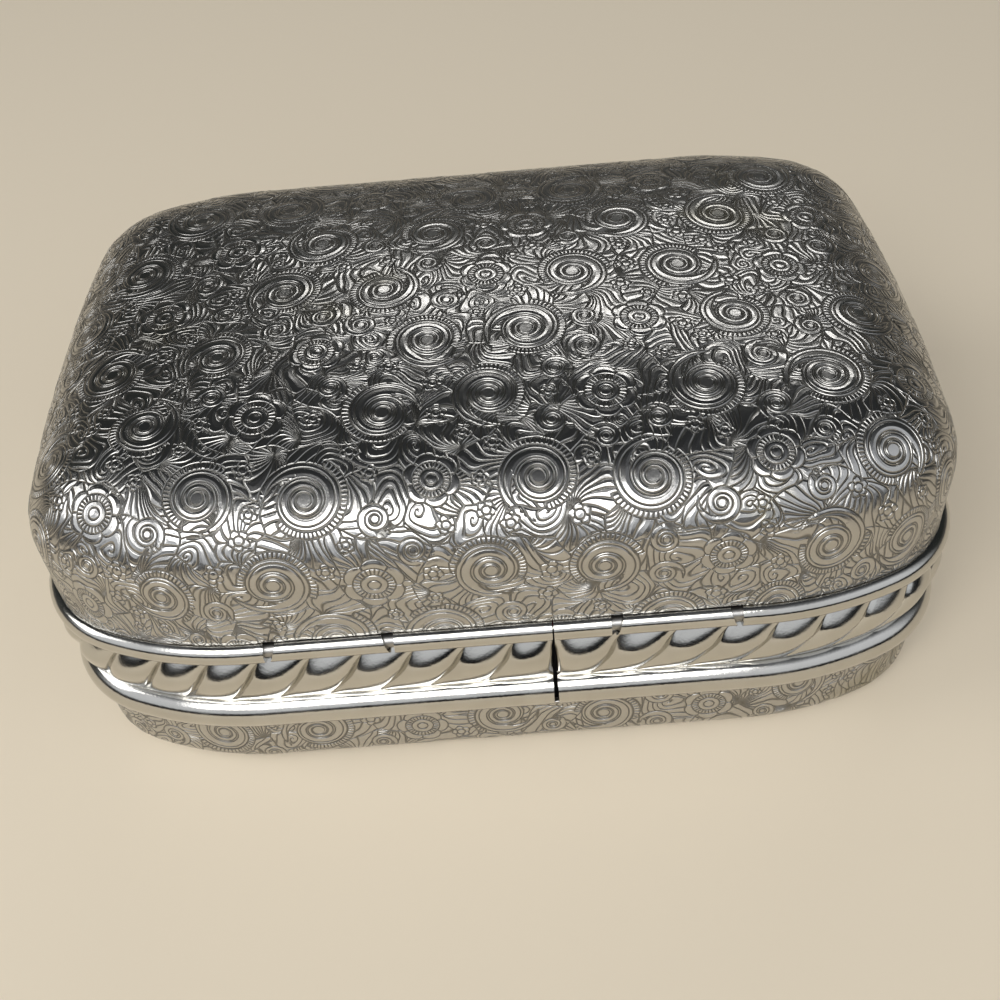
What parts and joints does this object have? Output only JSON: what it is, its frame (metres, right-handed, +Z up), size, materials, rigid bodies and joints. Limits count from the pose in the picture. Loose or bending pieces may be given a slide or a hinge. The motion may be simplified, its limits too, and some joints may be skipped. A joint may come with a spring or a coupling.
{
  "type": "rosary box",
  "caption": "Small hinged metal keepsake box with a domed embossed lid, a rope moulded band, a wire hinge in the lid's rolled rim and a velvet lined inside.",
  "frame": {"origin": "centre of the flat underside that the box rests on", "axes": "+X along the box, +Y towards the hinge, +Z up; the thumb lift faces -Y"},
  "size_m": [0.084, 0.0596, 0.0351],
  "materials": {
    "embossed_silver_plate": "silver plated, embossed and lightly tarnished",
    "polished_silver_plate": "silver plated, polished with fine scratches",
    "spring_brass": "rolled strip",
    "steel_wire": "drawn wire",
    "velvet": "short pile velvet",
    "lining_card": "plain greyboard"
  },
  "bodies": {
    "base": {"base_shell": "embossed_silver_plate", "base_rim": "polished_silver_plate", "rope_moulding": "polished_silver_plate", "hinge_tongue_left": "polished_silver_plate", "hinge_tongue_right": "polished_silver_plate", "catch_spring": "spring_brass", "catch_rivets": "spring_brass", "base_side_lining": "velvet", "base_floor_card": "lining_card", "base_floor_pad": "velvet"},
    "lid": {"lid_shell": "embossed_silver_plate", "lid_rim": "polished_silver_plate", "hinge_pin_left": "steel_wire", "hinge_pin_right": "steel_wire", "thumb_lift": "polished_silver_plate", "lid_side_lining": "velvet", "lid_lining_card": "lining_card", "lid_lining_pad": "velvet"}
  },
  "joints": [
    {"name": "lid_hinge", "type": "hinge", "parent": "base", "child": "lid", "pos_m": [0, 0.02737, 0.01761], "axis": [-1, 0, 0], "range_deg": [0, 100]}
  ]
}
